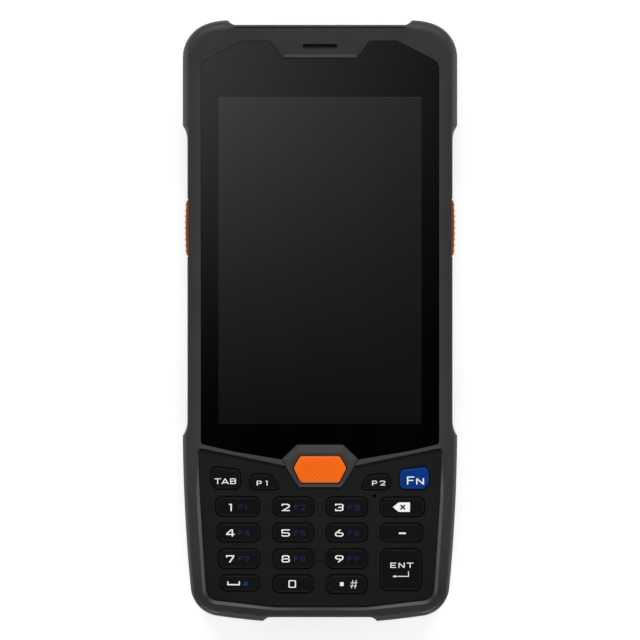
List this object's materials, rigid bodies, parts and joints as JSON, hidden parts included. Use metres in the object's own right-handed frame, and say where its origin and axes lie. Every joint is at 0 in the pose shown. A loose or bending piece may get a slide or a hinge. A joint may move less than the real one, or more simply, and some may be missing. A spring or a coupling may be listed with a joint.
{
  "type": "barcode data terminal",
  "caption": "Rugged handheld barcode data terminal with a touch display, a key field, side scan triggers and a removable battery.",
  "frame": {"origin": "centre of the overall box in plan, on the rear plane the terminal lies on", "axes": "+X to the right of the screen, +Y towards the earpiece and scan window end, +Z out of the screen"},
  "size_m": [0.0724, 0.1582, 0.0189],
  "materials": {
    "housing": "fine spark-eroded grain, polished at handled edges",
    "gasket": "matte",
    "cover_glass": "chemically strengthened, black ink border",
    "display": "polariser film, switched off",
    "frame_metal": "die cast, tumbled",
    "steel": "plated",
    "black_plastic": "moulded",
    "plate": "fine grain",
    "key": "hard-coated silicone",
    "key_blue": "hard-coated silicone",
    "orange_key": "satin, fine diamond texture",
    "orange_trigger": "overmoulded, ribbed",
    "silicone": "matte",
    "board": "solder mask",
    "gold": "gold flash",
    "window": "tinted acrylic",
    "lens": "coated",
    "diffuser": "frosted",
    "cell": "wrapped metal cell pack"
  },
  "bodies": {
    "terminal": {"front_housing": "housing", "rear_housing": "housing", "housing_gasket": "gasket", "cover_glass": "cover_glass", "display_panel": "display", "mid_frame": "frame_metal", "earpiece_mesh": "steel", "earpiece_receiver": "black_plastic", "keypad_plate": "plate", "scan_key_bezel": "housing", "keypad_membrane": "silicone", "keypad_board": "board", "keypad_connector": "black_plastic", "main_board": "board", "shield_cans": "steel", "battery_connector": "black_plastic", "usb_socket": "steel", "side_switches_left": "board", "side_switches_right": "board", "scan_window": "window", "scan_engine": "black_plastic", "camera_surround": "black_plastic", "camera_window": "lens", "flash_lens": "diffuser", "camera_module": "black_plastic", "loudspeaker": "black_plastic", "vibration_motor": "steel", "charge_contacts": "gold", "strap_bar": "steel", "housing_screws": "steel"},
    "battery": {"battery_cover": "housing", "battery_cells": "cell", "battery_seal": "gasket", "battery_screws": "steel"},
    "key_tab": {"key_tab": "key"},
    "key_p1": {"key_p1": "key"},
    "key_scan": {"key_scan": "orange_key"},
    "key_p2": {"key_p2": "key"},
    "key_fn": {"key_fn": "key_blue"},
    "key_1": {"key_1": "key"},
    "key_2": {"key_2": "key"},
    "key_3": {"key_3": "key"},
    "key_backspace": {"key_backspace": "key"},
    "key_4": {"key_4": "key"},
    "key_5": {"key_5": "key"},
    "key_6": {"key_6": "key"},
    "key_minus": {"key_minus": "key"},
    "key_7": {"key_7": "key"},
    "key_8": {"key_8": "key"},
    "key_9": {"key_9": "key"},
    "key_enter": {"key_enter": "key"},
    "key_space": {"key_space": "key"},
    "key_0": {"key_0": "key"},
    "key_dot": {"key_dot": "key"},
    "trigger_left": {"trigger_left": "orange_trigger"},
    "trigger_right": {"trigger_right": "orange_trigger"},
    "power_button": {"power_button": "key"},
    "volume_rocker": {"volume_rocker": "key"},
    "usb_flap": {"usb_flap": "gasket"}
  },
  "joints": [
    {"name": "key_tab_press", "type": "slide", "parent": "terminal", "child": "key_tab", "axis": [0, 0, -1], "range_m": [0, 0.0006], "stiffness_N_per_m": 280, "springref_m": -0.0006},
    {"name": "key_p1_press", "type": "slide", "parent": "terminal", "child": "key_p1", "axis": [0, 0, -1], "range_m": [0, 0.0006], "stiffness_N_per_m": 280, "springref_m": -0.0006},
    {"name": "key_scan_press", "type": "slide", "parent": "terminal", "child": "key_scan", "axis": [0, 0, -1], "range_m": [0, 0.0006], "stiffness_N_per_m": 320, "springref_m": -0.0006},
    {"name": "key_p2_press", "type": "slide", "parent": "terminal", "child": "key_p2", "axis": [0, 0, -1], "range_m": [0, 0.0006], "stiffness_N_per_m": 280, "springref_m": -0.0006},
    {"name": "key_fn_press", "type": "slide", "parent": "terminal", "child": "key_fn", "axis": [0, 0, -1], "range_m": [0, 0.0006], "stiffness_N_per_m": 280, "springref_m": -0.0006},
    {"name": "key_1_press", "type": "slide", "parent": "terminal", "child": "key_1", "axis": [0, 0, -1], "range_m": [0, 0.0006], "stiffness_N_per_m": 280, "springref_m": -0.0006},
    {"name": "key_2_press", "type": "slide", "parent": "terminal", "child": "key_2", "axis": [0, 0, -1], "range_m": [0, 0.0006], "stiffness_N_per_m": 280, "springref_m": -0.0006},
    {"name": "key_3_press", "type": "slide", "parent": "terminal", "child": "key_3", "axis": [0, 0, -1], "range_m": [0, 0.0006], "stiffness_N_per_m": 280, "springref_m": -0.0006},
    {"name": "key_backspace_press", "type": "slide", "parent": "terminal", "child": "key_backspace", "axis": [0, 0, -1], "range_m": [0, 0.0006], "stiffness_N_per_m": 280, "springref_m": -0.0006},
    {"name": "key_4_press", "type": "slide", "parent": "terminal", "child": "key_4", "axis": [0, 0, -1], "range_m": [0, 0.0006], "stiffness_N_per_m": 280, "springref_m": -0.0006},
    {"name": "key_5_press", "type": "slide", "parent": "terminal", "child": "key_5", "axis": [0, 0, -1], "range_m": [0, 0.0006], "stiffness_N_per_m": 280, "springref_m": -0.0006},
    {"name": "key_6_press", "type": "slide", "parent": "terminal", "child": "key_6", "axis": [0, 0, -1], "range_m": [0, 0.0006], "stiffness_N_per_m": 280, "springref_m": -0.0006},
    {"name": "key_minus_press", "type": "slide", "parent": "terminal", "child": "key_minus", "axis": [0, 0, -1], "range_m": [0, 0.0006], "stiffness_N_per_m": 280, "springref_m": -0.0006},
    {"name": "key_7_press", "type": "slide", "parent": "terminal", "child": "key_7", "axis": [0, 0, -1], "range_m": [0, 0.0006], "stiffness_N_per_m": 280, "springref_m": -0.0006},
    {"name": "key_8_press", "type": "slide", "parent": "terminal", "child": "key_8", "axis": [0, 0, -1], "range_m": [0, 0.0006], "stiffness_N_per_m": 280, "springref_m": -0.0006},
    {"name": "key_9_press", "type": "slide", "parent": "terminal", "child": "key_9", "axis": [0, 0, -1], "range_m": [0, 0.0006], "stiffness_N_per_m": 280, "springref_m": -0.0006},
    {"name": "key_enter_press", "type": "slide", "parent": "terminal", "child": "key_enter", "axis": [0, 0, -1], "range_m": [0, 0.0006], "stiffness_N_per_m": 280, "springref_m": -0.0006},
    {"name": "key_space_press", "type": "slide", "parent": "terminal", "child": "key_space", "axis": [0, 0, -1], "range_m": [0, 0.0006], "stiffness_N_per_m": 280, "springref_m": -0.0006},
    {"name": "key_0_press", "type": "slide", "parent": "terminal", "child": "key_0", "axis": [0, 0, -1], "range_m": [0, 0.0006], "stiffness_N_per_m": 280, "springref_m": -0.0006},
    {"name": "key_dot_press", "type": "slide", "parent": "terminal", "child": "key_dot", "axis": [0, 0, -1], "range_m": [0, 0.0006], "stiffness_N_per_m": 280, "springref_m": -0.0006},
    {"name": "trigger_left_press", "type": "slide", "parent": "terminal", "child": "trigger_left", "axis": [1, 0, 0], "range_m": [0, 0.0006], "stiffness_N_per_m": 400, "springref_m": -0.0008},
    {"name": "trigger_right_press", "type": "slide", "parent": "terminal", "child": "trigger_right", "axis": [-1, 0, 0], "range_m": [0, 0.0006], "stiffness_N_per_m": 400, "springref_m": -0.0008},
    {"name": "power_button_press", "type": "slide", "parent": "terminal", "child": "power_button", "axis": [-1, 0, 0], "range_m": [0, 0.0004], "stiffness_N_per_m": 350, "springref_m": -0.0006},
    {"name": "volume_rocker_tilt", "type": "hinge", "parent": "terminal", "child": "volume_rocker", "pos_m": [-0.0332, 0.0406, 0.0108], "axis": [0, 0, 1], "range_deg": [-2.4, 2.4], "stiffness_Nm_per_rad": 0.02},
    {"name": "usb_flap_swing", "type": "hinge", "parent": "terminal", "child": "usb_flap", "pos_m": [-0.0069, -0.07748, 0.0096], "axis": [0, 0, -1], "range_deg": [0, 90]},
    {"name": "battery_removal", "type": "slide", "parent": "terminal", "child": "battery", "axis": [0, 0, -1], "range_m": [0, 0.012]}
  ]
}
